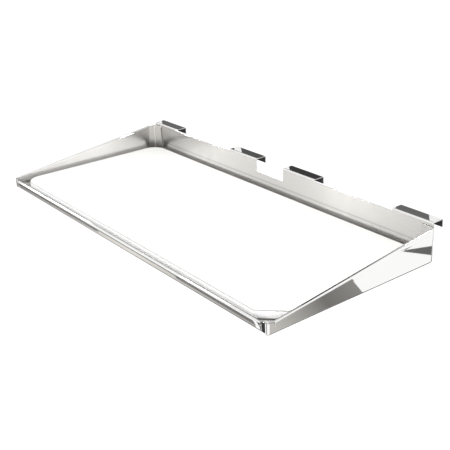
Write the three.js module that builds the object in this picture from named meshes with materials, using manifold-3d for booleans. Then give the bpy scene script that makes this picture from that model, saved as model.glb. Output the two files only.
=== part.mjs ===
// Hook-on serving shelf: a folded stainless steel tray that hangs by four hooks, with a
// lift-out cutting board lying in it.
// Millimetres. +Z is up, the low front lip faces -Y and the hooks point to +Y. The origin is
// under the middle of the shelf's box, in the plane of the tray's underside.

import * as THREE from 'three';
import { mergeVertices } from 'three/addons/utils/BufferGeometryUtils.js';
import Module from 'manifold-3d';

const wasm = await Module();
wasm.setup();

// ---------------------------------------------------------------- driving dimensions

const SHEET = 1.2; // thickness of the stainless sheet
const BEND_INSIDE = 1.0; // inside radius of every bend
const BEND_OUTSIDE = BEND_INSIDE + SHEET;
const CORNER_INSIDE = 2.0; // the end panels' upright bends are a little wider
const CORNER_OUTSIDE = CORNER_INSIDE + SHEET;
const BEND_STEPS = 6; // flats in each quarter bend
const CLEAR = 0.3; // air between neighbouring pieces

const WIDTH = 570; // across the outer faces of the two end panels
const TRAY_DEPTH = 250; // front face to the back panel's front face
const LIP_HEIGHT = 12.6;
const BACK_HEIGHT = 45.2;

const HEM_GAP = 0.7; // air inside a folded hem
const HEM_DEPTH = 6.4; // fold down to raw edge
const HEM_THICKNESS = 2 * SHEET + HEM_GAP;

const SIDE_FRONT_HEIGHT = 14.3; // end panel's sloping top edge, carried on to the front face
const SIDE_RISE = 31; // what it gains by the time it reaches the back panel
const SIDE_HEM_START = 9; // behind the front face
const SIDE_HEM_END = 240;
const SIDE_BACK_HEIGHT = 43.6; // plain rear corner behind the hem
const FRONT_TAB_WIDTH = 9; // end panel's tab over the lip
const FRONT_TAB_HEIGHT = 13.8;
const FRONT_TAB_FOOT = 3; // the tab's lower edge
const FRONT_TAB_GAP = 2; // between that tab and the lip's hem
const FRONT_TAB_FACE = 0.4; // tab's face, behind the hem's face
const REAR_TAB_TOP_WIDTH = 18; // end panel's tab in front of the back panel
const REAR_TAB_FOOT_WIDTH = 21;

const NOTCH_WIDTH = 55.5; // gap in the back panel's top edge
const NOTCH_DEPTH = 16.6;
const NOTCH_RADIUS = 3;

const HOOK_WIDTH = 61;
const HOOK_REACH = 17.7; // back panel's front face to the hook's rear face
const HOOK_RISE = 3.4; // above the back panel
const HOOK_DROP = 10.1; // height of the hook's rear flange
const OUTER_HOOK_INSET = 2.8; // from the end panel's face

const BOARD_WIDTH = 552;
const BOARD_DEPTH = 233;
const BOARD_THICKNESS = 10;
const BOARD_SETBACK = 12; // behind the front face
const BOARD_RADIUS = 22; // three round corners
const BOARD_CLIP = 26; // the corner cut off at 45 degrees for a finger
const BOARD_EDGE = 1; // softened edge round both faces

// ---------------------------------------------------------------- places worked out from them

const HALF = WIDTH / 2;
const FRONT = -(TRAY_DEPTH + HOOK_REACH) / 2; // y of the front face
const BACK_FACE = FRONT + TRAY_DEPTH; // back panel's front face
const BACK_REAR = BACK_FACE + SHEET;
const LIP_OUTER = FRONT + HEM_THICKNESS - SHEET; // lip wall under the hem
const LIP_INNER = FRONT + HEM_THICKNESS;
const TAB_FACE = FRONT + FRONT_TAB_FACE;
const TAB_REAR = BACK_FACE - CLEAR; // rear face of the rear tabs
const HOOK_TOP = BACK_HEIGHT + HOOK_RISE;
const FLOOR_HALF = HALF - BEND_OUTSIDE - CLEAR;
const SLOPE = SIDE_RISE / TRAY_DEPTH;

const steel = new THREE.MeshStandardMaterial({ color: 0xd2cfca, metalness: 1, roughness: 0.22 });
const polishedSteel = new THREE.MeshStandardMaterial({ color: 0xdcdcdc, metalness: 1, roughness: 0.08 });
const boardPlastic = new THREE.MeshStandardMaterial({ color: 0xfbfbf6, metalness: 0, roughness: 0.55 });

// ---------------------------------------------------------------- geometry helpers

// Closed outline from [u, v] points.
function outline(points) {
  return new THREE.Shape(points.map(([u, v]) => new THREE.Vector2(u, v)));
}

// Points on an arc, in degrees, both ends included.
function arc(cu, cv, radius, fromDegrees, toDegrees, steps = BEND_STEPS) {
  return Array.from({ length: steps + 1 }, (_, i) => {
    const angle = THREE.MathUtils.degToRad(fromDegrees + ((toDegrees - fromDegrees) * i) / steps);
    return [cu + radius * Math.cos(angle), cv + radius * Math.sin(angle)];
  });
}

function extrude(shape, length) {
  return new THREE.ExtrudeGeometry(shape, { depth: length, bevelEnabled: false, steps: 1 });
}

// A profile drawn in the YZ plane, extruded along X from x0 to x1.
function alongX(points, x0, x1) {
  const geometry = extrude(outline(points), x1 - x0);
  const basis = new THREE.Matrix4().makeBasis(
    new THREE.Vector3(0, 1, 0),
    new THREE.Vector3(0, 0, 1),
    new THREE.Vector3(1, 0, 0),
  );
  return geometry.applyMatrix4(basis).translate(x0, 0, 0);
}

// A profile drawn in the XZ plane, extruded along Y from y0 to y1.
function alongY(points, y0, y1) {
  const geometry = extrude(outline(points), y1 - y0);
  return geometry.rotateX(Math.PI / 2).translate(0, y1, 0);
}

// A profile drawn in the XY plane, extruded upward from z0 to z1.
function alongZ(points, z0, z1) {
  return extrude(outline(points), z1 - z0).translate(0, 0, z0);
}

function toSolid(geometry) {
  const bare = geometry.clone();
  bare.deleteAttribute('normal');
  bare.deleteAttribute('uv');
  const merged = mergeVertices(bare, 1e-4);
  return new wasm.Manifold(
    new wasm.Mesh({
      numProp: 3,
      vertProperties: new Float32Array(merged.attributes.position.array),
      triVerts: new Uint32Array(merged.index.array),
    }),
  );
}

function toGeometry(solid) {
  const mesh = solid.getMesh();
  const geometry = new THREE.BufferGeometry();
  geometry.setAttribute('position', new THREE.BufferAttribute(new Float32Array(mesh.vertProperties), 3));
  geometry.setIndex(new THREE.BufferAttribute(new Uint32Array(mesh.triVerts), 1));
  geometry.computeVertexNormals();
  return geometry;
}

function join(...geometries) {
  return toGeometry(geometries.map(toSolid).reduce((a, b) => a.add(b)));
}

function cut(geometry, ...tools) {
  return toGeometry(tools.map(toSolid).reduce((a, b) => a.subtract(b), toSolid(geometry)));
}

// The same piece on the other side of the shelf.
function mirrored(geometry) {
  const copy = geometry.clone().scale(-1, 1, 1);
  const index = copy.index.array;
  for (let i = 0; i < index.length; i += 3) {
    [index[i + 1], index[i + 2]] = [index[i + 2], index[i + 1]];
  }
  copy.computeVertexNormals();
  return copy;
}

const group = new THREE.Group();

function add(name, geometry, material) {
  const mesh = new THREE.Mesh(geometry, material);
  mesh.name = name;
  group.add(mesh);
}

// ---------------------------------------------------------------- folded sheet sections

// Quarter bend between two flats, as [u, v] points: the centre, and the angle where it starts.
function bend(cu, cv, startDegrees, outside = BEND_OUTSIDE) {
  return [
    ...arc(cu, cv, outside, startDegrees, startDegrees + 90),
    ...arc(cu, cv, outside - SHEET, startDegrees + 90, startDegrees),
  ];
}

// Hem folded over to the outside: the inner leaf lies from `inside - SHEET` to `inside`, and the
// outer leaf beyond it, at lower u. `top` is the fold's top and `foot` the inner leaf's lower end.
function hemProfile(inside, top, foot) {
  const outside = inside - HEM_THICKNESS;
  const centre = (inside + outside) / 2;
  const foldOutside = HEM_THICKNESS / 2;
  const foldInside = HEM_GAP / 2;
  const v = top - foldOutside;
  return [
    [inside, foot],
    ...arc(centre, v, foldOutside, 0, 180, 2 * BEND_STEPS),
    [outside, top - HEM_DEPTH],
    [outside + SHEET, top - HEM_DEPTH],
    ...arc(centre, v, foldInside, 180, 0, 2 * BEND_STEPS),
    [inside - SHEET, foot],
  ];
}

// ---------------------------------------------------------------- tray floor and front lip

function floorPan() {
  const front = LIP_OUTER + BEND_OUTSIDE + CLEAR;
  const back = BACK_REAR - BEND_OUTSIDE - CLEAR;
  return alongX([[front, 0], [back, 0], [back, SHEET], [front, SHEET]], -FLOOR_HALF, FLOOR_HALF);
}

// Low wall along the front, folded over outward at the top. The hem stops short of the end
// panels' tabs, which lie on the wall in front of its ends.
function frontLip() {
  const wall = hemProfile(LIP_INNER, LIP_HEIGHT, BEND_OUTSIDE);
  const hemHalf = HALF - FRONT_TAB_WIDTH - FRONT_TAB_GAP;
  const plainTop = LIP_HEIGHT - HEM_THICKNESS / 2;
  const plainWall = [
    [LIP_OUTER, BEND_OUTSIDE],
    [LIP_INNER, BEND_OUTSIDE],
    [LIP_INNER, plainTop],
    [LIP_OUTER, plainTop],
  ];
  const wallHalf = HALF - CORNER_OUTSIDE;
  return join(
    alongX(wall, -hemHalf, hemHalf),
    alongX(plainWall, -wallHalf, wallHalf),
    alongX(bend(LIP_OUTER + BEND_OUTSIDE, BEND_OUTSIDE, 180), -FLOOR_HALF, FLOOR_HALF),
  );
}

// ---------------------------------------------------------------- end panels

// Right-hand end panel: a wedge-shaped wall with a bend along the floor, a hem folded outward
// along its sloping top edge, a tab over the front lip and a tab in front of the back panel.
function endPanel() {
  const outer = HALF;
  const inner = HALF - SHEET;
  const footX = HALF - BEND_OUTSIDE;
  const cornerX = HALF - CORNER_OUTSIDE;
  const wallFront = TAB_FACE + CORNER_OUTSIDE;
  const wallBack = TAB_REAR - CORNER_OUTSIDE;
  const hemFront = FRONT + SIDE_HEM_START;
  const hemBack = FRONT + SIDE_HEM_END;
  const slopeTop = (y) => SIDE_FRONT_HEIGHT + SLOPE * (y - FRONT);
  const underFold = HEM_THICKNESS / 2;

  const wall = alongX(
    [
      [wallFront, BEND_OUTSIDE],
      [wallBack, BEND_OUTSIDE],
      [wallBack, SIDE_BACK_HEIGHT],
      [hemBack, slopeTop(hemBack) - underFold],
      [hemFront, slopeTop(hemFront) - underFold],
      [hemFront, FRONT_TAB_HEIGHT],
      [wallFront, FRONT_TAB_HEIGHT],
    ],
    inner,
    outer,
  );
  const footBend = alongY(bend(footX, BEND_OUTSIDE, 270), wallFront, wallBack);

  const foldLength = (hemBack - hemFront) / Math.cos(Math.atan(SLOPE));
  const hem = alongY(
    hemProfile(-inner, 0, -HEM_DEPTH).map(([u, v]) => [-u, v]).reverse(),
    0,
    foldLength,
  );
  hem.rotateX(Math.atan(SLOPE)).translate(0, hemFront, slopeTop(hemFront));

  const foot = SHEET + CLEAR;
  const frontFold = alongZ(bend(cornerX, wallFront, 270, CORNER_OUTSIDE), foot, FRONT_TAB_HEIGHT);
  const frontTab = alongZ(
    [
      [HALF - FRONT_TAB_WIDTH, TAB_FACE],
      [cornerX, TAB_FACE],
      [cornerX, TAB_FACE + SHEET],
      [HALF - FRONT_TAB_WIDTH, TAB_FACE + SHEET],
    ],
    FRONT_TAB_FOOT,
    FRONT_TAB_HEIGHT,
  );

  const rearFold = alongZ(bend(cornerX, wallBack, 0, CORNER_OUTSIDE), foot, SIDE_BACK_HEIGHT);
  const rearTab = alongY(
    [
      [HALF - REAR_TAB_FOOT_WIDTH, BEND_OUTSIDE + CLEAR],
      [cornerX, BEND_OUTSIDE + CLEAR],
      [cornerX, SIDE_BACK_HEIGHT],
      [HALF - REAR_TAB_TOP_WIDTH, SIDE_BACK_HEIGHT],
    ],
    TAB_REAR - SHEET,
    TAB_REAR,
  );
  return join(wall, footBend, hem, frontFold, frontTab, rearFold, rearTab);
}

// ---------------------------------------------------------------- back panel and its hooks

function backPanel() {
  const half = HALF - BEND_INSIDE - SHEET + CLEAR;
  const wall = alongY(
    [
      [-half, BEND_OUTSIDE],
      [half, BEND_OUTSIDE],
      [half, BACK_HEIGHT],
      [-half, BACK_HEIGHT],
    ],
    BACK_FACE,
    BACK_REAR,
  );
  const bottom = BACK_HEIGHT - NOTCH_DEPTH;
  const notchHalf = NOTCH_WIDTH / 2;
  const notch = alongY(
    [
      ...arc(-notchHalf + NOTCH_RADIUS, bottom + NOTCH_RADIUS, NOTCH_RADIUS, 180, 270),
      ...arc(notchHalf - NOTCH_RADIUS, bottom + NOTCH_RADIUS, NOTCH_RADIUS, 270, 360),
      [notchHalf, BACK_HEIGHT + SHEET],
      [-notchHalf, BACK_HEIGHT + SHEET],
    ],
    BACK_FACE - SHEET,
    BACK_REAR + SHEET,
  );
  const footBend = alongX(bend(BACK_REAR - BEND_OUTSIDE, BEND_OUTSIDE, 270), -FLOOR_HALF, FLOOR_HALF);
  return join(cut(wall, notch), footBend);
}

// A hook: short leg over the back panel, flat top, and a flange that drops behind a rail.
function hook() {
  const under = HOOK_TOP - SHEET;
  const bendZ = HOOK_TOP - BEND_OUTSIDE;
  const frontBend = BACK_FACE + BEND_OUTSIDE;
  const rear = BACK_FACE + HOOK_REACH;
  const rearBend = rear - BEND_OUTSIDE;
  const foot = HOOK_TOP - HOOK_DROP;
  const profile = [
    [BACK_FACE, BACK_HEIGHT + CLEAR],
    [BACK_REAR, BACK_HEIGHT + CLEAR],
    ...arc(frontBend, bendZ, BEND_INSIDE, 180, 90),
    ...arc(rearBend, bendZ, BEND_INSIDE, 90, 0),
    [rear - SHEET, foot],
    [rear, foot],
    ...arc(rearBend, bendZ, BEND_OUTSIDE, 0, 90),
    ...arc(frontBend, bendZ, BEND_OUTSIDE, 90, 180),
  ];
  return alongX(profile, -HOOK_WIDTH / 2, HOOK_WIDTH / 2);
}

// ---------------------------------------------------------------- cutting board

// A flat board with three round corners and one clipped one, its edges slightly softened.
function cuttingBoard() {
  const x = BOARD_WIDTH / 2 - BOARD_EDGE;
  const y0 = FRONT + BOARD_SETBACK + BOARD_EDGE;
  const y1 = y0 + BOARD_DEPTH - 2 * BOARD_EDGE;
  const r = BOARD_RADIUS - BOARD_EDGE;
  const steps = 8;
  const shape = outline([
    ...arc(-x + r, y0 + r, r, 180, 270, steps),
    [x - BOARD_CLIP, y0],
    [x, y0 + BOARD_CLIP],
    ...arc(x - r, y1 - r, r, 0, 90, steps),
    ...arc(-x + r, y1 - r, r, 90, 180, steps),
  ]);
  const geometry = new THREE.ExtrudeGeometry(shape, {
    depth: BOARD_THICKNESS - 2 * BOARD_EDGE,
    bevelThickness: BOARD_EDGE,
    bevelSize: BOARD_EDGE,
    bevelSegments: 2,
    curveSegments: 1,
  });
  return geometry.translate(0, 0, SHEET + CLEAR + BOARD_EDGE);
}

// ---------------------------------------------------------------- assembly

add('floor_pan', floorPan(), steel);
add('front_lip', frontLip(), polishedSteel);
add('back_panel', backPanel(), steel);

const rightPanel = endPanel();
add('right_end_panel', rightPanel, polishedSteel);
add('left_end_panel', mirrored(rightPanel), polishedSteel);

const innerHook = NOTCH_WIDTH / 2 + HOOK_WIDTH / 2;
const outerHook = HALF - OUTER_HOOK_INSET - HOOK_WIDTH / 2;
const hookPlaces = {
  left_outer_hook: -outerHook,
  left_inner_hook: -innerHook,
  right_inner_hook: innerHook,
  right_outer_hook: outerHook,
};
for (const [name, x] of Object.entries(hookPlaces)) {
  add(name, hook().translate(x, 0, 0), polishedSteel);
}

add('cutting_board', cuttingBoard(), boardPlastic);

export default group;
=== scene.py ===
"""A hook-on serving shelf: a folded stainless steel tray with a white cutting board in it."""

import math

import bmesh
import bpy
from mathutils import Matrix, Vector


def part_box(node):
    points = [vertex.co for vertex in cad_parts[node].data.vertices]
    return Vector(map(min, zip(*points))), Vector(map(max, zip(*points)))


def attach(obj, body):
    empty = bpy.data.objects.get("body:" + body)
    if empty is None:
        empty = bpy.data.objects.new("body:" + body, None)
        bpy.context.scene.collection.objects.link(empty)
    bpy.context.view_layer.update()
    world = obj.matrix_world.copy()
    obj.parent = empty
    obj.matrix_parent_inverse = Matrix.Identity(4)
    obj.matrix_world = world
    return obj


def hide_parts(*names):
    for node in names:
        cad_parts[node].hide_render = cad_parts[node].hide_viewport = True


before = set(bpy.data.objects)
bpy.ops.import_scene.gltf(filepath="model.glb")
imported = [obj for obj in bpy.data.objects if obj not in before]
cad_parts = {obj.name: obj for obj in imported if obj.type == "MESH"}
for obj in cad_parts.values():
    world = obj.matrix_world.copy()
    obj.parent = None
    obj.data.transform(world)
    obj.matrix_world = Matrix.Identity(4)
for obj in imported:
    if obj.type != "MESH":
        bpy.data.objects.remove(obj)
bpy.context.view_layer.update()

MM = 0.001

# ---------------------------------------------------------------- the sheet, in metres

SHEET = 1.2 * MM  # thickness
MIDDLE = SHEET / 2
BEND = 1.6 * MM  # bends along the floor and the hooks, at the middle of the sheet
CORNER = 2.6 * MM  # the end panels' upright bends, at the middle of the sheet
HEM_BEND = 0.95 * MM  # the hems' folds, at the middle of the sheet
HEM_DEPTH = 6.4 * MM
HEM_THICKNESS = 3.1 * MM
EDGE = 0.25 * MM  # how far a cut edge is eased
BEND_STEPS = 10  # facets in a quarter turn
SHARP_ANGLE = math.radians(50)  # the facets of a bend meet at less, cut edges at more
SEAM_TOLERANCE = 0.02 * MM

NOTCH_HALF = 27.75 * MM
NOTCH_DEPTH = 16.6 * MM
NOTCH_RADIUS = 3 * MM
FRONT_TAB_WIDTH = 9 * MM
FRONT_TAB_FOOT = 3 * MM
FRONT_TAB_GAP = 2 * MM
CORNER_GAP = 0.3 * MM  # between the lip's wall and the end panels' upright bends
REAR_TAB_TOP_WIDTH = 18 * MM
REAR_TAB_FOOT_WIDTH = 21 * MM
REAR_TAB_FOOT = 2.5 * MM
FRONT_TAB_TOP = 13.8 * MM
SIDE_HEM_START = 9 * MM  # behind the front face
SIDE_HEM_END = 240 * MM
SIDE_FRONT_HEIGHT = 14.3 * MM  # the hem's top line, carried on to the front face
SIDE_SLOPE = 0.124
SIDE_BACK_HEIGHT = 43.6 * MM

REFLECTION_LINE_HEIGHT = 19.8 * MM  # height of a dark reflection line painted into the back panel's colour
REFLECTION_LINE_HALF = 1.6 * MM
REFLECTION_LINE_SHADE = 0.72

BOARD_RADIUS = 22 * MM
BOARD_CLIP = 26 * MM
BOARD_EDGE = 0.8 * MM
BOARD_CORNER_STEPS = 16

# Places read from the frame.
lip_low, lip_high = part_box("front_lip")
back_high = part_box("back_panel")[1]
panel_low, panel_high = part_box("right_end_panel")
board_low, board_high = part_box("cutting_board")
HOOKS = ("left_outer_hook", "left_inner_hook", "right_inner_hook", "right_outer_hook")

FRONT = lip_low.y
LIP_TOP = lip_high.z
BACK_REAR = back_high.y
BACK_TOP = back_high.z
HALF = panel_high.x - (HEM_THICKNESS - SHEET)  # outer face of an end panel
FLOOR_X = HALF - MIDDLE - BEND  # where the floor's flat ends at the sides
LIP_WALL = FRONT + HEM_THICKNESS - MIDDLE
FLOOR_FRONT = LIP_WALL + BEND
FLOOR_BACK = BACK_REAR - MIDDLE - BEND
CORNER_X = HALF - MIDDLE - CORNER
PANEL_FRONT = panel_low.y + MIDDLE + CORNER
PANEL_BACK = panel_high.y - MIDDLE - CORNER
BEND_TOP = MIDDLE + BEND  # height where a wall's flat begins

# How the sides of the sheet look, as the first of three material slots.
PLAIN = 0  # bright outside, satin inside
BRIGHT = 3  # bright on both sides
SHADED_TAB = 6  # bright outside, satin inside darkened as painted shade, for the right rear tab

# The cutting board's material slots.
BOARD_FACE = 0
# The eased edge is painted grey as shade.
BOARD_SHADED_EDGE = 1
# The upright sides take a lighter copy of the plastic, painted light.
BOARD_LIT_SIDE = 2


# ---------------------------------------------------------------- materials

# Base colours, each as the dark and the light end of a faint variation.
MIRROR_TONES = (0.80, 0.80, 0.79), (0.90, 0.90, 0.89)
SATIN_X_TONES = (0.455, 0.446, 0.432), (0.505, 0.495, 0.48)
# The same satin with a lighter base for the floor and end panels: painted light.
SATIN_Y_LIGHTENED_TONES = (0.70, 0.69, 0.675), (0.76, 0.75, 0.735)
# A darker copy of the satin: painted shade for the right rear tab's inside.
SHADED_TAB_TONES = (0.43, 0.42, 0.41), (0.48, 0.47, 0.455)
CUT_TONES = (0.55, 0.54, 0.52), (0.72, 0.71, 0.70)
IVORY = (0.80, 0.795, 0.775), (0.84, 0.835, 0.817)
# Grey painted shade along the board's eased edge.
EDGE_SHADE_TONES = (0.33, 0.325, 0.31), (0.40, 0.39, 0.375)
# Lighter than the face: painted light on the board's upright sides.
LIT_SIDE_TONES = (0.95, 0.945, 0.93), (0.98, 0.975, 0.965)

# Roughness, each as the low and the high end.
MIRROR_ROUGHNESS = 0.01, 0.025
SATIN_X_ROUGHNESS = 0.13, 0.15
SATIN_Y_ROUGHNESS = 0.14, 0.16
CUT_ROUGHNESS = 0.25, 0.4
BOARD_ROUGHNESS = 0.42, 0.56

# How the grain is stretched: a scale for each axis, small along the grain.
ALONG_X = (0.02, 1, 1)
ALONG_Y = (1, 0.02, 1)
NO_GRAIN = (1, 1, 1)

# Nearly every value of a noise lies between these.
NOISE_LOW = 0.3
NOISE_HIGH = 0.7

class Nodes:
    """A new node material, with short ways to add and join its nodes."""

    def __init__(self, name):
        self.material = bpy.data.materials.new(name)
        self.material.use_nodes = True
        self.tree = self.material.node_tree
        self.shader = self.tree.nodes["Principled BSDF"]

    def add(self, kind, **inputs):
        node = self.tree.nodes.new(kind)
        for key, value in inputs.items():
            node.inputs[key.replace("_", " ")].default_value = value
        return node

    def join(self, source, target):
        self.tree.links.new(source, target)

    def stretched(self, scale):
        """Object coordinates, scaled along each axis."""
        place = self.add("ShaderNodeTexCoord")
        mapping = self.add("ShaderNodeMapping")
        mapping.inputs["Scale"].default_value = scale
        self.join(place.outputs["Object"], mapping.inputs["Vector"])
        return mapping.outputs["Vector"]

    def noise(self, scale, detail=3.0):
        node = self.add("ShaderNodeTexNoise", Scale=1.0, Detail=detail)
        self.join(self.stretched(scale), node.inputs["Vector"])
        return node.outputs["Fac"]

    def ranged(self, value, low, high):
        """A noise value taken to low..high."""
        node = self.add("ShaderNodeMapRange")
        node.inputs["From Min"].default_value = NOISE_LOW
        node.inputs["From Max"].default_value = NOISE_HIGH
        node.inputs["To Min"].default_value = low
        node.inputs["To Max"].default_value = high
        self.join(value, node.inputs["Value"])
        return node.outputs["Result"]

    def tint(self, value, dark, light):
        """A colour between dark and light."""
        node = self.tree.nodes.new("ShaderNodeMix")
        node.data_type = "RGBA"
        node.inputs["A"].default_value = (*dark, 1)
        node.inputs["B"].default_value = (*light, 1)
        self.join(value, node.inputs["Factor"])
        return node.outputs["Result"]

    def paint_reflection_line(self, height, half_width, shade):
        """Dims the base colour along one level line, softly to both sides: a painted dark reflection."""
        place = self.add("ShaderNodeTexCoord")
        split = self.add("ShaderNodeSeparateXYZ")
        self.join(place.outputs["Object"], split.inputs["Vector"])
        above = self.add("ShaderNodeMath")
        above.operation = "SUBTRACT"
        above.inputs[1].default_value = height
        self.join(split.outputs["Z"], above.inputs[0])
        away = self.add("ShaderNodeMath")
        away.operation = "ABSOLUTE"
        self.join(above.outputs["Value"], away.inputs[0])
        dim = self.add("ShaderNodeMapRange", From_Min=0.0, From_Max=half_width, To_Min=shade, To_Max=1.0)
        self.join(away.outputs["Value"], dim.inputs["Value"])
        target = self.shader.inputs["Base Color"]
        colour = target.links[0].from_socket
        scale = self.add("ShaderNodeVectorMath")
        scale.operation = "SCALE"
        self.join(colour, scale.inputs[0])
        self.join(dim.outputs["Result"], scale.inputs["Scale"])
        self.join(scale.outputs["Vector"], target)

    def bump(self, value, strength, distance, under=None):
        node = self.add("ShaderNodeBump", Strength=strength, Distance=distance)
        self.join(value, node.inputs["Height"])
        if under:
            self.join(under, node.inputs["Normal"])
        return node.outputs["Normal"]


def steel(name, dark, light, roughness, grain, grain_depth, waviness, along):
    """Stainless sheet with a rolled grain, faint handling haze and a slight wave.

    along is ALONG_X, ALONG_Y or NO_GRAIN. Returns the node set, so that a finish can add to it.
    """
    m = Nodes(name)
    shader = m.shader
    shader.inputs["Metallic"].default_value = 1.0
    streaks = m.noise([a * grain for a in along], detail=4.0)
    haze = m.noise((9, 9, 14), detail=2.0)
    m.join(m.tint(haze, dark, light), shader.inputs["Base Color"])
    blend = m.add("ShaderNodeMath")
    blend.operation = "ADD"
    m.join(m.ranged(streaks, roughness[0] / 2, roughness[1] / 2), blend.inputs[0])
    m.join(m.ranged(haze, roughness[0] / 2, roughness[1] / 2), blend.inputs[1])
    m.join(blend.outputs["Value"], shader.inputs["Roughness"])
    wave = m.bump(m.noise((6, 6, 9), detail=1.0), waviness, 1 * MM)
    m.join(m.bump(streaks, grain_depth, 0.05 * MM, under=wave), shader.inputs["Normal"])
    return m


def bright_steel(name, along):
    """The mirror side of the sheet."""
    m = steel(name, *MIRROR_TONES, MIRROR_ROUGHNESS, grain=900, grain_depth=0.001, waviness=0.03, along=along)
    return m.material


def satin_steel(name, along, axis, tones, roughness):
    """The brushed side: highlights spread across the grain, which runs along axis.

    Where the grain runs along X, a faint dark level line, a painted reflection, is laid into the
    base colour above the underside. Only the back panel is high enough to show it.
    """
    m = steel(name, *tones, roughness, grain=700, grain_depth=0.06, waviness=0.05, along=along)
    m.shader.inputs["Anisotropic"].default_value = 1.0
    around = m.add("ShaderNodeTangent")
    around.direction_type = "RADIAL"
    around.axis = axis
    m.join(around.outputs["Tangent"], m.shader.inputs["Tangent"])
    # a dark reflection line, painted into the base colour
    if axis == "X":
        m.paint_reflection_line(REFLECTION_LINE_HEIGHT, REFLECTION_LINE_HALF, REFLECTION_LINE_SHADE)
    return m.material


def cut_steel():
    """The sheet's sheared edge."""
    m = steel("cut_edge", *CUT_TONES, CUT_ROUGHNESS, grain=2500, grain_depth=0.2, waviness=0, along=NO_GRAIN)
    return m.material


def board_plastic(name, dark, light, glow, depth):
    """Fine matt polyethylene: a close moulded stipple, with faint clouding under it.

    glow is the share of the light that goes in and comes out again, about depth away.
    """
    m = Nodes(name)
    shader = m.shader
    cloud = m.noise((11, 11, 11), detail=4.0)
    m.join(m.tint(cloud, dark, light), shader.inputs["Base Color"])
    m.join(m.ranged(m.noise((160, 160, 160)), *BOARD_ROUGHNESS), shader.inputs["Roughness"])
    shader.inputs["Specular IOR Level"].default_value = 0.4
    shader.inputs["Subsurface Weight"].default_value = glow
    shader.inputs["Subsurface Radius"].default_value = (1.0, 0.98, 0.95)
    shader.inputs["Subsurface Scale"].default_value = depth
    stipple = m.noise((900, 900, 900), detail=1.0)
    m.join(m.bump(stipple, 0.12, 0.05 * MM), shader.inputs["Normal"])
    return m.material


cut_edge = cut_steel()
steel_slots = {}  # for each grain: outside, inside and edge, for the plain, the bright and the shaded tab sides in turn
for axis_name, along, tones, roughness in (
    ("X", ALONG_X, SATIN_X_TONES, SATIN_X_ROUGHNESS),
    ("Y", ALONG_Y, SATIN_Y_LIGHTENED_TONES, SATIN_Y_ROUGHNESS),
):
    bright = bright_steel("bright_steel_" + axis_name, along)
    satin = satin_steel("satin_steel_" + axis_name, along, axis_name, tones, roughness)
    # the same satin, darkened: painted shade
    tab_shade_satin = satin_steel("tab_shade_steel_" + axis_name, along, axis_name, SHADED_TAB_TONES, roughness)
    steel_slots[axis_name] = [
        material for inside in (satin, bright, tab_shade_satin) for material in (bright, inside, cut_edge)
    ]


# ---------------------------------------------------------------- folded sheet

def turn(point, axis, degrees, steps=BEND_STEPS):
    """The steps of a bend: each a small turn about the axis through point."""
    step = Matrix.Rotation(math.radians(degrees / steps), 4, axis)
    point = Vector(point)
    return [Matrix.Translation(point) @ step @ Matrix.Translation(-point)] * steps


def slide(vector):
    """One straight move."""
    return [Matrix.Translation(vector)]


class Sheet:
    """The middle surface of a folded sheet, from flats and swept edges, then given thickness."""

    def __init__(self):
        self.bm = bmesh.new()

    def verts(self, points):
        return [self.bm.verts.new(p) for p in points]

    def face(self, verts, finish=PLAIN):
        self.bm.faces.new(verts).material_index = finish

    def sweep(self, row, moves, finish=PLAIN):
        """Carries a row of vertices through the moves and skins the way. Returns every row."""
        rows = [row]
        for move in moves:
            last = rows[-1]
            rows.append([self.bm.verts.new(move @ v.co) for v in last])
            for a, b, c, d in zip(last, last[1:], rows[-1][1:], rows[-1]):
                self.face((a, b, c, d), finish)
        return rows

    def solid(self, name, outside, grain, seams):
        """Thickens the surface, eases its free edges and makes the object.

        outside is the way the first face looks on its bright side, and seams are planes, as
        (axis, place), where the piece runs on into its neighbour and keeps a plain edge.
        """
        bmesh.ops.recalc_face_normals(self.bm, faces=self.bm.faces)
        self.bm.faces.ensure_lookup_table()
        if self.bm.faces[0].normal.dot(Vector(outside)) < 0:
            bmesh.ops.reverse_faces(self.bm, faces=self.bm.faces)
        surface = new_object(name + "_surface", self.bm)
        for material in steel_slots[grain]:
            surface.data.materials.append(material)
        thick = surface.modifiers.new("thickness", "SOLIDIFY")
        thick.thickness = SHEET
        thick.offset = 0
        thick.use_even_offset = True
        thick.material_offset = 1
        thick.material_offset_rim = 2
        piece = applied(surface, name)
        ease_edges(piece.data, EDGE, seams)
        finish_shading(piece)
        return piece


def new_object(name, bm):
    mesh = bpy.data.meshes.new(name)
    bm.to_mesh(mesh)
    bm.free()
    obj = bpy.data.objects.new(name, mesh)
    bpy.context.scene.collection.objects.link(obj)
    return obj


def applied(obj, name):
    """A new object holding obj's mesh with its modifiers applied; obj is removed."""
    bpy.context.view_layer.update()
    graph = bpy.context.evaluated_depsgraph_get()
    mesh = bpy.data.meshes.new_from_object(obj.evaluated_get(graph))
    mesh.name = name
    result = bpy.data.objects.new(name, mesh)
    bpy.context.scene.collection.objects.link(result)
    bpy.data.objects.remove(obj)
    return result


def ease_edges(mesh, width, seams):
    """Rounds every sharp edge but those that lie in a seam plane."""
    bm = bmesh.new()
    bm.from_mesh(mesh)

    def in_seam(edge):
        return any(
            all(abs(v.co[axis] - place) < SEAM_TOLERANCE for v in edge.verts) for axis, place in seams
        )

    sharp = [
        e for e in bm.edges
        if e.is_manifold and e.calc_face_angle() > SHARP_ANGLE and not in_seam(e)
    ]
    bmesh.ops.bevel(
        bm, geom=sharp, offset=width, segments=2, profile=0.5, affect="EDGES", clamp_overlap=True
    )
    bm.to_mesh(mesh)
    bm.free()


def finish_shading(obj):
    """Smooth bends with flat flats: normals weighted by face area, kept sharp over SHARP_ANGLE."""
    obj.data.polygons.foreach_set("use_smooth", [True] * len(obj.data.polygons))
    obj.data.set_sharp_from_angle(angle=SHARP_ANGLE)
    weighted = obj.modifiers.new("weighted_normals", "WEIGHTED_NORMAL")
    weighted.keep_sharp = True
    weighted.weight = 90


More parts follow.
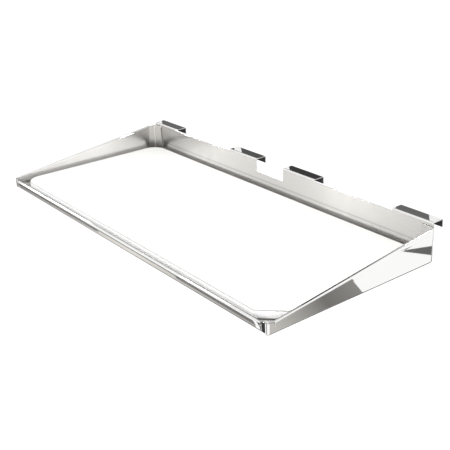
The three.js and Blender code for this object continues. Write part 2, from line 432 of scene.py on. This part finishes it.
def arc(cu, cv, radius, start, end, steps=8):
    """Points on an arc, in degrees, both ends included."""
    angles = [math.radians(start + (end - start) * i / steps) for i in range(steps + 1)]
    return [(cu + radius * math.cos(a), cv + radius * math.sin(a)) for a in angles]


def claim(piece, node):
    """Puts a piece of the tray in the place of its CAD node."""
    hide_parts(node)
    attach(piece, "tray")


# ---------------------------------------------------------------- the tray's panels

def floor_pan():
    """The flat floor, which ends where the bends begin."""
    sheet = Sheet()
    x, y0, y1 = FLOOR_X, FLOOR_FRONT, FLOOR_BACK
    sheet.face(sheet.verts([(-x, y0, MIDDLE), (x, y0, MIDDLE), (x, y1, MIDDLE), (-x, y1, MIDDLE)]))
    seams = ((0, -x), (0, x), (1, y0), (1, y1))
    claim(sheet.solid("floor_pan_sheet", (0, 0, -1), "Y", seams), "floor_pan")


def front_lip():
    """Bend, low wall and outward hem. The hem stops short of the end panels' tabs."""
    sheet = Sheet()
    wall_half = CORNER_X - CORNER_GAP
    hem_half = HALF - FRONT_TAB_WIDTH - FRONT_TAB_GAP
    wall_top = LIP_TOP - HEM_THICKNESS / 2
    foot = sheet.verts([(x, LIP_WALL, BEND_TOP) for x in (-wall_half, -hem_half, hem_half, wall_half)])
    rows = sheet.sweep(foot, slide((0, 0, wall_top - BEND_TOP)))
    sheet.sweep(foot, turn((0, FLOOR_FRONT, BEND_TOP), "X", 90))
    fold = sheet.sweep(
        rows[-1][1:3], turn((0, LIP_WALL - HEM_BEND, wall_top), "X", 180, 2 * BEND_STEPS), BRIGHT
    )
    sheet.sweep(fold[-1], slide((0, 0, LIP_TOP - HEM_DEPTH - wall_top)), BRIGHT)
    piece = sheet.solid("front_lip_sheet", (0, -1, 0), "X", ((1, FLOOR_FRONT),))
    claim(piece, "front_lip")


def side_top(y):
    """Height of an end panel's hem line."""
    return SIDE_FRONT_HEIGHT + SIDE_SLOPE * (y - FRONT)


def end_panel(name, side):
    """Sloping wall with an outward hem, a foot bend, rounded corners and two tabs.

    side is 1 on the right and -1 on the left.
    """
    sheet = Sheet()
    wall_x = side * (HALF - MIDDLE)
    hem_front = FRONT + SIDE_HEM_START
    hem_back = FRONT + SIDE_HEM_END
    tilt = math.atan(SIDE_SLOPE)
    under_fold = HEM_THICKNESS / 2 / math.cos(tilt)

    outline = sheet.verts([
        (wall_x, PANEL_FRONT, BEND_TOP),
        (wall_x, PANEL_BACK, BEND_TOP),
        (wall_x, PANEL_BACK, REAR_TAB_FOOT),
        (wall_x, PANEL_BACK, SIDE_BACK_HEIGHT),
        (wall_x, hem_back, side_top(hem_back) - under_fold),
        (wall_x, hem_front, side_top(hem_front) - under_fold),
        (wall_x, PANEL_FRONT, FRONT_TAB_TOP),
        (wall_x, PANEL_FRONT, FRONT_TAB_FOOT),
    ])
    sheet.face(outline)
    foot_front, foot_back, tab_back, top_back, fold_back, fold_front, top_front, tab_front = outline

    # Foot bend, down to the floor.
    foot = sheet.sweep([foot_front, foot_back], turn((side * FLOOR_X, 0, BEND_TOP), "Y", side * 90))

    # Hem, folded outward about the sloping top edge.
    axis = Vector((0, math.cos(tilt), math.sin(tilt)))
    down = Vector((0, math.sin(tilt), -math.cos(tilt)))
    centre = fold_front.co + Vector((side * HEM_BEND, 0, 0))
    fold = sheet.sweep([fold_front, fold_back], turn(centre, axis, side * 180, 2 * BEND_STEPS), BRIGHT)
    sheet.sweep(fold[-1], slide(down * (HEM_DEPTH - HEM_THICKNESS / 2)), BRIGHT)

    # Upright corners, each carrying the foot bend round with it, and their tabs.
    front_column = [top_front, tab_front] + [row[0] for row in foot]
    corner = sheet.sweep(front_column, turn((side * CORNER_X, PANEL_FRONT, 0), "Z", -side * 90))
    tab_reach = FRONT_TAB_WIDTH - (HALF - CORNER_X)
    sheet.sweep(corner[-1][:2], slide((-side * tab_reach, 0, 0)))

    rear_column = [top_back, tab_back] + [row[1] for row in foot]
    corner = sheet.sweep(rear_column, turn((side * CORNER_X, PANEL_BACK, 0), "Z", side * 90))
    rear_y = corner[-1][0].co.y
    edge = sheet.verts([
        (side * (HALF - REAR_TAB_TOP_WIDTH), rear_y, SIDE_BACK_HEIGHT),
        (side * (HALF - REAR_TAB_FOOT_WIDTH), rear_y, REAR_TAB_FOOT),
    ])
    # the right rear tab's inside takes the darkened satin, painted shade
    sheet.face((corner[-1][0], corner[-1][1], edge[1], edge[0]), SHADED_TAB if side > 0 else PLAIN)

    piece = sheet.solid(name + "_sheet", (side, 0, 0), "Y", ((0, side * FLOOR_X),))
    claim(piece, name)


def back_panel():
    """Tall wall with the notch in its top edge, running up into the hooks, and its foot bend."""
    sheet = Sheet()
    y = BACK_REAR - MIDDLE
    half = back_high.x
    notch_foot = BACK_TOP - NOTCH_DEPTH
    leg_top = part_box(HOOKS[0])[1].z - MIDDLE - BEND
    inset = NOTCH_HALF - NOTCH_RADIUS

    top = [(half, BACK_TOP)]
    for name in ("right_outer_hook", "right_inner_hook"):
        low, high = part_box(name)
        top += [(high.x, BACK_TOP), (high.x, leg_top), (low.x, leg_top), (low.x, BACK_TOP)]
    top.pop()  # the inner hook's own side runs straight down into the notch
    top += arc(inset, notch_foot + NOTCH_RADIUS, NOTCH_RADIUS, 0, -90)
    top += [(-x, z) for x, z in reversed(top)]
    points = [(-half, BEND_TOP), (half, BEND_TOP)] + top
    outline = sheet.verts([(x, y, z) for x, z in points])
    sheet.face(outline)
    sheet.sweep(outline[:2], turn((0, FLOOR_BACK, BEND_TOP), "X", -90))
    piece = sheet.solid("back_panel_sheet", (0, 1, 0), "X", ((1, FLOOR_BACK), (2, leg_top)))
    claim(piece, "back_panel")


def hook(name):
    """Bend over the back panel's top, flat seat, and a flange that drops behind the rail."""
    low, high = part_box(name)
    sheet = Sheet()
    leg_y = BACK_REAR - MIDDLE
    flange_y = high.y - MIDDLE
    bend_z = high.z - MIDDLE - BEND
    leg = sheet.verts([(low.x, leg_y, bend_z), (high.x, leg_y, bend_z)])
    rise = sheet.sweep(leg, turn((0, leg_y + BEND, bend_z), "X", -90), BRIGHT)
    seat = sheet.sweep(rise[-1], slide((0, flange_y - leg_y - 2 * BEND, 0)), BRIGHT)
    fall = sheet.sweep(seat[-1], turn((0, flange_y - BEND, bend_z), "X", -90), BRIGHT)
    sheet.sweep(fall[-1], slide((0, 0, low.z - bend_z)), BRIGHT)
    piece = sheet.solid(name + "_sheet", (0, -1, 0), "X", ((2, bend_z),))
    claim(piece, name)


# ---------------------------------------------------------------- the cutting board

def cutting_board():
    """Flat board with three round corners, one clipped corner and a small machined edge painted grey as
    shade.
    """
    low, high = board_low, board_high
    x, y0, y1, r = high.x, low.y, high.y, BOARD_RADIUS
    points = arc(-x + r, y0 + r, r, 180, 270, BOARD_CORNER_STEPS)
    points += [(x - BOARD_CLIP, y0), (x, y0 + BOARD_CLIP)]
    points += arc(x - r, y1 - r, r, 0, 90, BOARD_CORNER_STEPS)
    points += arc(-x + r, y1 - r, r, 90, 180, BOARD_CORNER_STEPS)
    bm = bmesh.new()
    base = bm.faces.new([bm.verts.new((u, v, low.z)) for u, v in points])
    raised = bmesh.ops.extrude_face_region(bm, geom=[base])["geom"]
    for v in raised:
        if isinstance(v, bmesh.types.BMVert):
            v.co.z = high.z
    bmesh.ops.recalc_face_normals(bm, faces=bm.faces)
    for face in bm.faces:
        upright = abs(face.normal.z) < 0.5
        face.material_index = BOARD_LIT_SIDE if upright else BOARD_FACE
    rim = [e for e in bm.edges if abs(e.verts[0].co.z - e.verts[1].co.z) < 0.1 * MM]
    made = bmesh.ops.bevel(
        bm, geom=rim, offset=BOARD_EDGE, segments=3, profile=0.5, affect="EDGES", clamp_overlap=True
    )
    # the eased edge's faces take the grey painted shade
    for face in made["faces"]:
        face.material_index = BOARD_SHADED_EDGE
    piece = new_object("cutting_board_plastic", bm)
    for material in (
        board_plastic("board_face", *IVORY, glow=0.15, depth=1.5 * MM),
        board_plastic("board_edge_painted_shade", *EDGE_SHADE_TONES, glow=0.05, depth=0.5 * MM),
        # the sides: a lighter copy of the plastic, painted light
        board_plastic("board_side_painted_light", *LIT_SIDE_TONES, glow=0.9, depth=12 * MM),
    ):
        piece.data.materials.append(material)
    finish_shading(piece)
    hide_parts("cutting_board")
    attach(piece, "board")


# ---------------------------------------------------------------- studio

# Most of the studio shows only in reflections: cards and flags on three upright planes, cloths
# on the floor, and narrow bright strips.
FLOOR_DROP = 0.9  # the shelf hangs this far above the studio floor
FLOOR_REACH = 15
FLOOR_GLOW = 1.12
FRONT_PLANE = -1.0  # y
BAND_PLANE = FRONT_PLANE + 0.5 * MM
RIGHT_PLANE = 1.2  # x
BACK_PLANE = 1.5  # y
CLOTH_BEHIND_HEIGHT = -FLOOR_DROP + 0.01
CLOTH_FRONT_HEIGHT = -FLOOR_DROP + 0.005
BAND_SHADE = 0.15
FLAG_SHADE = 0.05
STRIP_HEIGHT = 0.5
LAMP_PLACE = (0.3, -1.4, 1.1)
LAMP_SIZE = 1.4
LAMP_ENERGY = 30
WARM = (1.0, 0.965, 0.92)


def glow(name, tint):
    """A stage material that only gives light, with its strength left to be set."""
    m = Nodes(name)
    m.shader.inputs["Base Color"].default_value = (0, 0, 0, 1)
    m.shader.inputs["Specular IOR Level"].default_value = 0
    m.shader.inputs["Emission Color"].default_value = (*tint, 1)
    return m


def even_glow(name, shade):
    """A stage material of one brightness."""
    m = glow(name, (1, 1, 1))
    m.shader.inputs["Emission Strength"].default_value = shade
    return m.material


def graded_glow(name, direction, stops):
    """A warm stage material whose brightness runs along a direction.

    stops are (place, shade) pairs, a place being the distance along the direction.
    """
    m = glow(name, WARM)
    place = m.add("ShaderNodeTexCoord")
    distance = m.add("ShaderNodeVectorMath")
    distance.operation = "DOT_PRODUCT"
    distance.inputs[1].default_value = direction
    m.join(place.outputs["Object"], distance.inputs[0])
    start, end = stops[0][0], stops[-1][0]
    along = m.add("ShaderNodeMapRange", From_Min=start, From_Max=end)
    m.join(distance.outputs["Value"], along.inputs["Value"])
    ramp = m.add("ShaderNodeValToRGB")
    marks = ramp.color_ramp.elements
    marks.remove(marks[1])
    marks[0].color = (stops[0][1],) * 3 + (1,)
    for position, shade in stops[1:]:
        marks.new((position - start) / (end - start)).color = (shade,) * 3 + (1,)
    m.join(along.outputs["Result"], ramp.inputs["Fac"])
    m.join(ramp.outputs["Color"], m.shader.inputs["Emission Strength"])
    return m.material


def stage_panel(name, corners, material, seen=False):
    """A flat stage surface. Unless seen, it shows only in reflections."""
    bm = bmesh.new()
    bm.faces.new([bm.verts.new(c) for c in corners])
    obj = new_object(name, bm)
    obj.data.materials.append(material)
    if not seen:
        obj.visible_camera = False
        obj.visible_diffuse = False
        obj.visible_shadow = False
        obj.visible_transmission = False


def flat(points, height):
    """Corners on a level plane, from (x, y) points."""
    return [(x, y, height) for x, y in points]


def facing_x(points, x):
    """Corners on an upright plane across X, from (y, z) points."""
    return [(x, y, z) for y, z in points]


def facing_y(points, y):
    """Corners on an upright plane across Y, from (x, z) points."""
    return [(x, y, z) for x, z in points]


def rectangle(left, right, low, high):
    """A rectangle's corners, for any of the planes."""
    return [(left, low), (right, low), (right, high), (left, high)]


def front_cards():
    """A light card with dark bands across it, and two dark flags, that the front lip mirrors."""
    stage_panel(
        "card_front",
        facing_y(rectangle(-2.5, -0.8, -FLOOR_DROP, -0.775), FRONT_PLANE),
        graded_glow("card_front", (1, 0, 0), ((-2.5, 0.4), (-1.5, 0.9), (-0.8, 0.45))),
    )
    for name, left, right, low, high in (
        ("band_high", -2.5, -0.8, -0.785, -0.775),
        ("band_low_left", -2.5, -1.7, -0.8, -0.787),
        ("band_low_right", -1.2, -0.8, -0.8, -0.787),
    ):
        corners = facing_y(rectangle(left, right, low, high), BAND_PLANE)
        stage_panel(name, corners, even_glow(name, BAND_SHADE))
    for name, left, right, high in (
        ("flag_corner", -0.78, -0.66, -0.4),
        ("flag_front", 0.35, 0.75, 0.1),
    ):
        corners = facing_y(rectangle(left, right, -FLOOR_DROP, high), FRONT_PLANE)
        stage_panel(name, corners, even_glow(name, FLAG_SHADE))


def right_cards():
    """A grey card and two dark flags that the right end panel mirrors, from front to back."""
    grey = [(0.4, -FLOOR_DROP), (1.15, -FLOOR_DROP), (0.95, -0.65), (0.4, -0.7)]
    stage_panel(
        "card_grey",
        facing_x(grey, RIGHT_PLANE),
        graded_glow("card_grey", (0, 1, 0.8), ((0.1, 0.6), (0.3, 0.2), (0.5, 0.35))),
    )
    for name, points, shade in (
        ("flag_wedge", [(1.15, -0.63), (1.4, -0.73), (1.4, -0.68)], 0.15),
        ("flag_back_right", rectangle(0.95, 1.3, -0.35, 1.05), 0.04),
    ):
        stage_panel(name, facing_x(points, RIGHT_PLANE), even_glow(name, shade))


def back_cards():
    """Dark flags behind the shelf that the hooks' flat tops and the hems' folds mirror."""
    for name, left, right, low, high, shade in (
        ("flag_hook_one", -2.4, -1.85, 0.6, 0.95, 0.15),
        ("flag_hook_two", -1.8, -1.6, 0.6, 0.95, 0.1),
        ("flag_hook_three", -1.5, -1.2, 0.6, 0.95, 0.05),
        ("flag_hook_four", -0.95, -0.8, 0.6, 0.95, 0.15),
        ("flag_hems_left", -4.6, -2.9, 0.1, 3.4, 0.05),
        ("flag_hems", -2.9, -1.3, 1.0, 3.4, 0.05),
        ("flag_hems_high", -1.3, 2.4, 2.2, 3.4, 0.05),
        ("flag_hem_right", -1.3, -0.5, 1.0, 2.2, 0.5),
        ("flag_back_left", -2.6, -1.2, -0.5, 0.45, 0.04),
    ):
        stage_panel(name, facing_y(rectangle(left, right, low, high), BACK_PLANE), even_glow(name, shade))


def cloths():
    """Cloths on the floor behind and before the shelf, which its downward bends mirror."""
    behind = [(-3.0, 0.1), (-1.75, -0.75), (-0.9, -0.75), (0.75, 0.25), (1.5, 2.0), (-3.0, 2.0)]
    stage_panel("cloth_behind", flat(behind, CLOTH_BEHIND_HEIGHT), even_glow("cloth_behind", 0.05))
    front = [(-2.6, -1.0), (-0.7, -1.0), (-0.5, -0.1), (-2.2, -0.1)]
    stage_panel("cloth_front", flat(front, CLOTH_FRONT_HEIGHT), even_glow("cloth_front", 0.45))


def strip_box(name, centre, width, strength):
    """A bright narrow panel turned to the shelf, which the brushed faces spread to a soft glow."""
    centre = Vector(centre)
    back = centre.normalized()
    across = Vector((0, 0, 1)).cross(back).normalized() * width / 2
    rise = back.cross(across).normalized() * STRIP_HEIGHT / 2
    corners = [centre + a * across + b * rise for a, b in ((-1, -1), (1, -1), (1, 1), (-1, 1))]
    stage_panel(name, corners, even_glow(name, strength))


def overhead_softbox():
    """A soft lamp above and before the shelf, which shows in no reflection."""
    light = bpy.data.lights.new("overhead_softbox", "AREA")
    light.energy = LAMP_ENERGY
    light.size = LAMP_SIZE
    lamp = bpy.data.objects.new("overhead_softbox", light)
    lamp.location = LAMP_PLACE
    lamp.rotation_euler = (-lamp.location).to_track_quat("-Z", "Y").to_euler()
    lamp.visible_glossy = False
    bpy.context.scene.collection.objects.link(lamp)


def studio():
    """Pale floor, white surroundings, the cards and strips, and one lamp."""
    floor = flat(rectangle(-FLOOR_REACH, FLOOR_REACH, -FLOOR_REACH, FLOOR_REACH), -FLOOR_DROP)
    stage_panel("studio_floor", floor, even_glow("pale_floor", FLOOR_GLOW), seen=True)
    front_cards()
    right_cards()
    back_cards()
    cloths()
    strip_box("strip_far_left", (-1.325, -0.745, 0.37), 0.03, 170)
    strip_box("strip_left", (-0.81, -0.96, 0.44), 0.03, 170)
    strip_box("strip_right", (0.756, 0.565, 0.27), 0.035, 22)

    world = bpy.data.worlds.new("studio_white")
    world.use_nodes = True
    background = world.node_tree.nodes["Background"]
    background.inputs["Color"].default_value = (1, 1, 1, 1)
    background.inputs["Strength"].default_value = 1.0
    bpy.context.scene.world = world
    overhead_softbox()
    view = bpy.context.scene.view_settings
    view.view_transform = "Standard"
    view.look = "None"


# ---------------------------------------------------------------- camera

CAMERA_LENS = 66.61  # millimetres
SENSOR_WIDTH = 36  # millimetres
CAMERA_TARGET = Vector((0.03745, 0.0073, 0))
CAMERA_DISTANCE = 1.07524
CAMERA_AZIMUTH = 52.85  # degrees, from straight in front towards the right
CAMERA_ELEVATION = 23.25
CAMERA_ROLL = -2.15


def camera():
    """The photo's viewing angle: aimed at CAMERA_TARGET, with a slight roll and no shift."""
    azimuth, elevation, roll = map(math.radians, (CAMERA_AZIMUTH, CAMERA_ELEVATION, CAMERA_ROLL))
    back = Vector((
        math.sin(azimuth) * math.cos(elevation),
        -math.cos(azimuth) * math.cos(elevation),
        math.sin(elevation),
    ))
    right = Vector((math.cos(azimuth), math.sin(azimuth), 0))
    up = back.cross(right)
    right, up = (
        math.cos(roll) * right + math.sin(roll) * up,
        math.cos(roll) * up - math.sin(roll) * right,
    )
    data = bpy.data.cameras.new("camera")
    data.lens = CAMERA_LENS
    data.sensor_width = SENSOR_WIDTH
    obj = bpy.data.objects.new("camera", data)
    obj.matrix_world = Matrix((
        (right.x, up.x, back.x, 0),
        (right.y, up.y, back.y, 0),
        (right.z, up.z, back.z, 0),
        (0, 0, 0, 1),
    ))
    obj.location = CAMERA_TARGET + back * CAMERA_DISTANCE
    bpy.context.scene.collection.objects.link(obj)
    bpy.context.scene.camera = obj


camera()
floor_pan()
front_lip()
back_panel()
end_panel("left_end_panel", -1)
end_panel("right_end_panel", 1)
for hook_name in HOOKS:
    hook(hook_name)
cutting_board()
studio()
